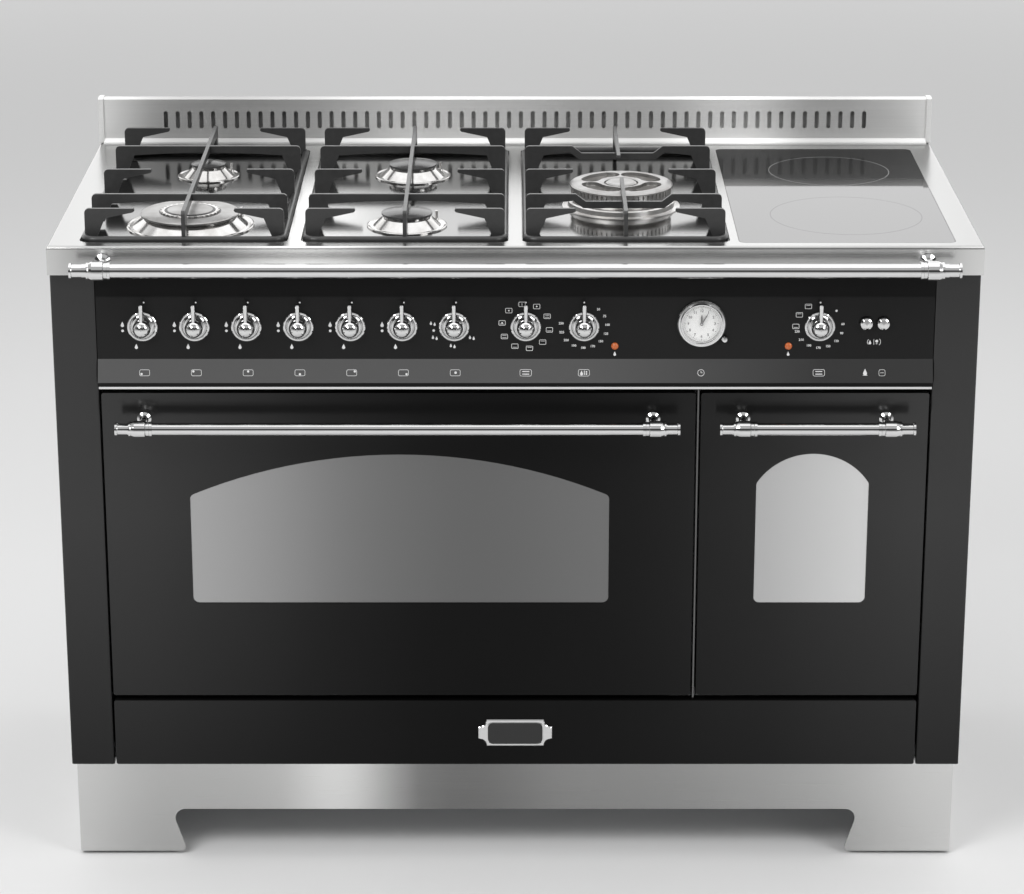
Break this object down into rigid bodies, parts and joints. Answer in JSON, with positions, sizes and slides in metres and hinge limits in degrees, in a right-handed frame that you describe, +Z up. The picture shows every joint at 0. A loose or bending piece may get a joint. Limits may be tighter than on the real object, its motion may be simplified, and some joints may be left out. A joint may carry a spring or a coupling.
{
  "type": "range cooker",
  "caption": "Free-standing range cooker with gas burners, a ceramic glass zone, two drop-down ovens, a storage drawer, a splashback and a front towel rail.",
  "frame": {"origin": "centre of the bounding box on the floor, under the feet", "axes": "+Z up, +X to the right seen from the front, the front with the knobs faces -Y"},
  "size_m": [1.2, 0.6574, 0.9415],
  "materials": {
    "black_paint": "satin",
    "zinc_sheet": "matt",
    "satin_steel": "brushed",
    "bright_chrome": "polished",
    "black_feet": "matt",
    "black_glass": "polished",
    "burner_metal": "satin",
    "black_enamel": "satin",
    "oven_enamel": "gloss",
    "valve_brass": "satin",
    "clock_crystal": "polished",
    "lamp_amber": "gloss",
    "hand_black": "satin",
    "door_glass": "mirror tint"
  },
  "bodies": {
    "body": {"left_side_panel": "black_paint", "right_side_panel": "black_paint", "control_panel": "black_paint", "back_panel": "zinc_sheet", "base_pan": "zinc_sheet", "drawer_runners": "zinc_sheet", "door_hinges": "zinc_sheet", "centre_divider": "satin_steel", "plinth_skirt": "satin_steel", "hob_top": "satin_steel", "splashback": "satin_steel", "front_rail": "bright_chrome", "rail_brackets": "bright_chrome", "panel_trim": "bright_chrome", "knob_bezels": "bright_chrome", "clock_case": "bright_chrome", "oven_racks": "bright_chrome", "levelling_feet": "black_feet", "ceramic_glass": "black_glass", "rapid_burner": "burner_metal", "auxiliary_burner": "burner_metal", "semi_rapid_burners": "burner_metal", "wok_burner": "burner_metal", "rapid_cap": "black_enamel", "auxiliary_cap": "black_enamel", "semi_rapid_caps": "black_enamel", "wok_caps": "black_enamel", "left_pan_support": "black_enamel", "middle_pan_support": "black_enamel", "wok_pan_support": "black_enamel", "main_oven_cavity": "oven_enamel", "small_oven_cavity": "oven_enamel", "valves_and_switches": "valve_brass", "clock_glass": "clock_crystal", "indicator_lamps": "lamp_amber"},
    "main_door": {"main_door_skin": "black_paint", "main_door_liner": "oven_enamel", "main_door_panes": "door_glass", "main_door_handle": "bright_chrome"},
    "small_door": {"small_door_skin": "black_paint", "small_door_liner": "oven_enamel", "small_door_panes": "door_glass", "small_door_handle": "bright_chrome"},
    "drawer": {"drawer_front": "black_paint", "drawer_tray": "zinc_sheet"},
    "gas_knob_1": {"gas_knob_1": "bright_chrome"},
    "gas_knob_2": {"gas_knob_2": "bright_chrome"},
    "gas_knob_3": {"gas_knob_3": "bright_chrome"},
    "gas_knob_4": {"gas_knob_4": "bright_chrome"},
    "gas_knob_5": {"gas_knob_5": "bright_chrome"},
    "gas_knob_6": {"gas_knob_6": "bright_chrome"},
    "glass_zone_knob": {"glass_zone_knob": "bright_chrome"},
    "oven_function_knob": {"oven_function_knob": "bright_chrome"},
    "oven_heat_knob": {"oven_heat_knob": "bright_chrome"},
    "small_oven_knob": {"small_oven_knob": "bright_chrome"},
    "left_button": {"left_button": "bright_chrome"},
    "right_button": {"right_button": "bright_chrome"},
    "clock_hour_hand": {"clock_hour_hand": "hand_black"},
    "clock_minute_hand": {"clock_minute_hand": "hand_black"},
    "clock_setting_knob": {"clock_setting_knob": "bright_chrome"}
  },
  "joints": [
    {"name": "main_door_hinge", "type": "hinge", "parent": "body", "child": "main_door", "pos_m": [-0.15225, -0.23926, 0.261], "axis": [1, 0, 0], "range_deg": [0, 90], "stiffness_Nm_per_rad": 8, "springref_deg": -20.05},
    {"name": "small_door_hinge", "type": "hinge", "parent": "body", "child": "small_door", "pos_m": [0.391, -0.23926, 0.261], "axis": [1, 0, 0], "range_deg": [0, 90], "stiffness_Nm_per_rad": 3, "springref_deg": -20.05},
    {"name": "drawer_slide", "type": "slide", "parent": "body", "child": "drawer", "axis": [0, -1, 0], "range_m": [0, 0.32]},
    {"name": "gas_knob_1_turn", "type": "hinge", "parent": "body", "child": "gas_knob_1", "pos_m": [-0.4824, -0.25126, 0.763], "axis": [0, -1, 0], "range_deg": [0, 210]},
    {"name": "gas_knob_2_turn", "type": "hinge", "parent": "body", "child": "gas_knob_2", "pos_m": [-0.4152, -0.25126, 0.763], "axis": [0, -1, 0], "range_deg": [0, 210]},
    {"name": "gas_knob_3_turn", "type": "hinge", "parent": "body", "child": "gas_knob_3", "pos_m": [-0.348, -0.25126, 0.763], "axis": [0, -1, 0], "range_deg": [0, 210]},
    {"name": "gas_knob_4_turn", "type": "hinge", "parent": "body", "child": "gas_knob_4", "pos_m": [-0.2808, -0.25126, 0.763], "axis": [0, -1, 0], "range_deg": [0, 210]},
    {"name": "gas_knob_5_turn", "type": "hinge", "parent": "body", "child": "gas_knob_5", "pos_m": [-0.2136, -0.25126, 0.763], "axis": [0, -1, 0], "range_deg": [0, 210]},
    {"name": "gas_knob_6_turn", "type": "hinge", "parent": "body", "child": "gas_knob_6", "pos_m": [-0.1464, -0.25126, 0.763], "axis": [0, -1, 0], "range_deg": [0, 210]},
    {"name": "glass_zone_knob_turn", "type": "hinge", "parent": "body", "child": "glass_zone_knob", "pos_m": [-0.0792, -0.25126, 0.763], "axis": [0, -1, 0], "range_deg": [0, 250]},
    {"name": "oven_function_knob_turn", "type": "hinge", "parent": "body", "child": "oven_function_knob", "pos_m": [0.0135, -0.25126, 0.763], "axis": [0, 1, 0], "continuous": true},
    {"name": "oven_heat_knob_turn", "type": "hinge", "parent": "body", "child": "oven_heat_knob", "pos_m": [0.089, -0.25126, 0.763], "axis": [0, 1, 0], "range_deg": [0, 290]},
    {"name": "small_oven_knob_turn", "type": "hinge", "parent": "body", "child": "small_oven_knob", "pos_m": [0.394, -0.25126, 0.763], "axis": [0, 1, 0], "range_deg": [0, 320]},
    {"name": "left_button_press", "type": "slide", "parent": "body", "child": "left_button", "axis": [0, 1, 0], "range_m": [0, 0.003], "stiffness_N_per_m": 400, "springref_m": -0.001},
    {"name": "right_button_press", "type": "slide", "parent": "body", "child": "right_button", "axis": [0, 1, 0], "range_m": [0, 0.003], "stiffness_N_per_m": 400, "springref_m": -0.001},
    {"name": "clock_setting_turn", "type": "hinge", "parent": "body", "child": "clock_setting_knob", "pos_m": [0.27101, -0.25126, 0.74676], "axis": [0, 1, 0], "continuous": true},
    {"name": "clock_minute_turn", "type": "hinge", "parent": "body", "child": "clock_minute_hand", "pos_m": [0.241, -0.25126, 0.767], "axis": [0, 1, 0], "continuous": true},
    {"name": "clock_hour_turn", "type": "hinge", "parent": "body", "child": "clock_hour_hand", "pos_m": [0.241, -0.25126, 0.767], "axis": [0, 1, 0], "continuous": true}
  ],
  "couplings": [
    {"joint": "clock_minute_turn", "follows": "clock_setting_turn", "ratio": 1},
    {"joint": "clock_hour_turn", "follows": "clock_setting_turn", "ratio": 0.083333}
  ]
}
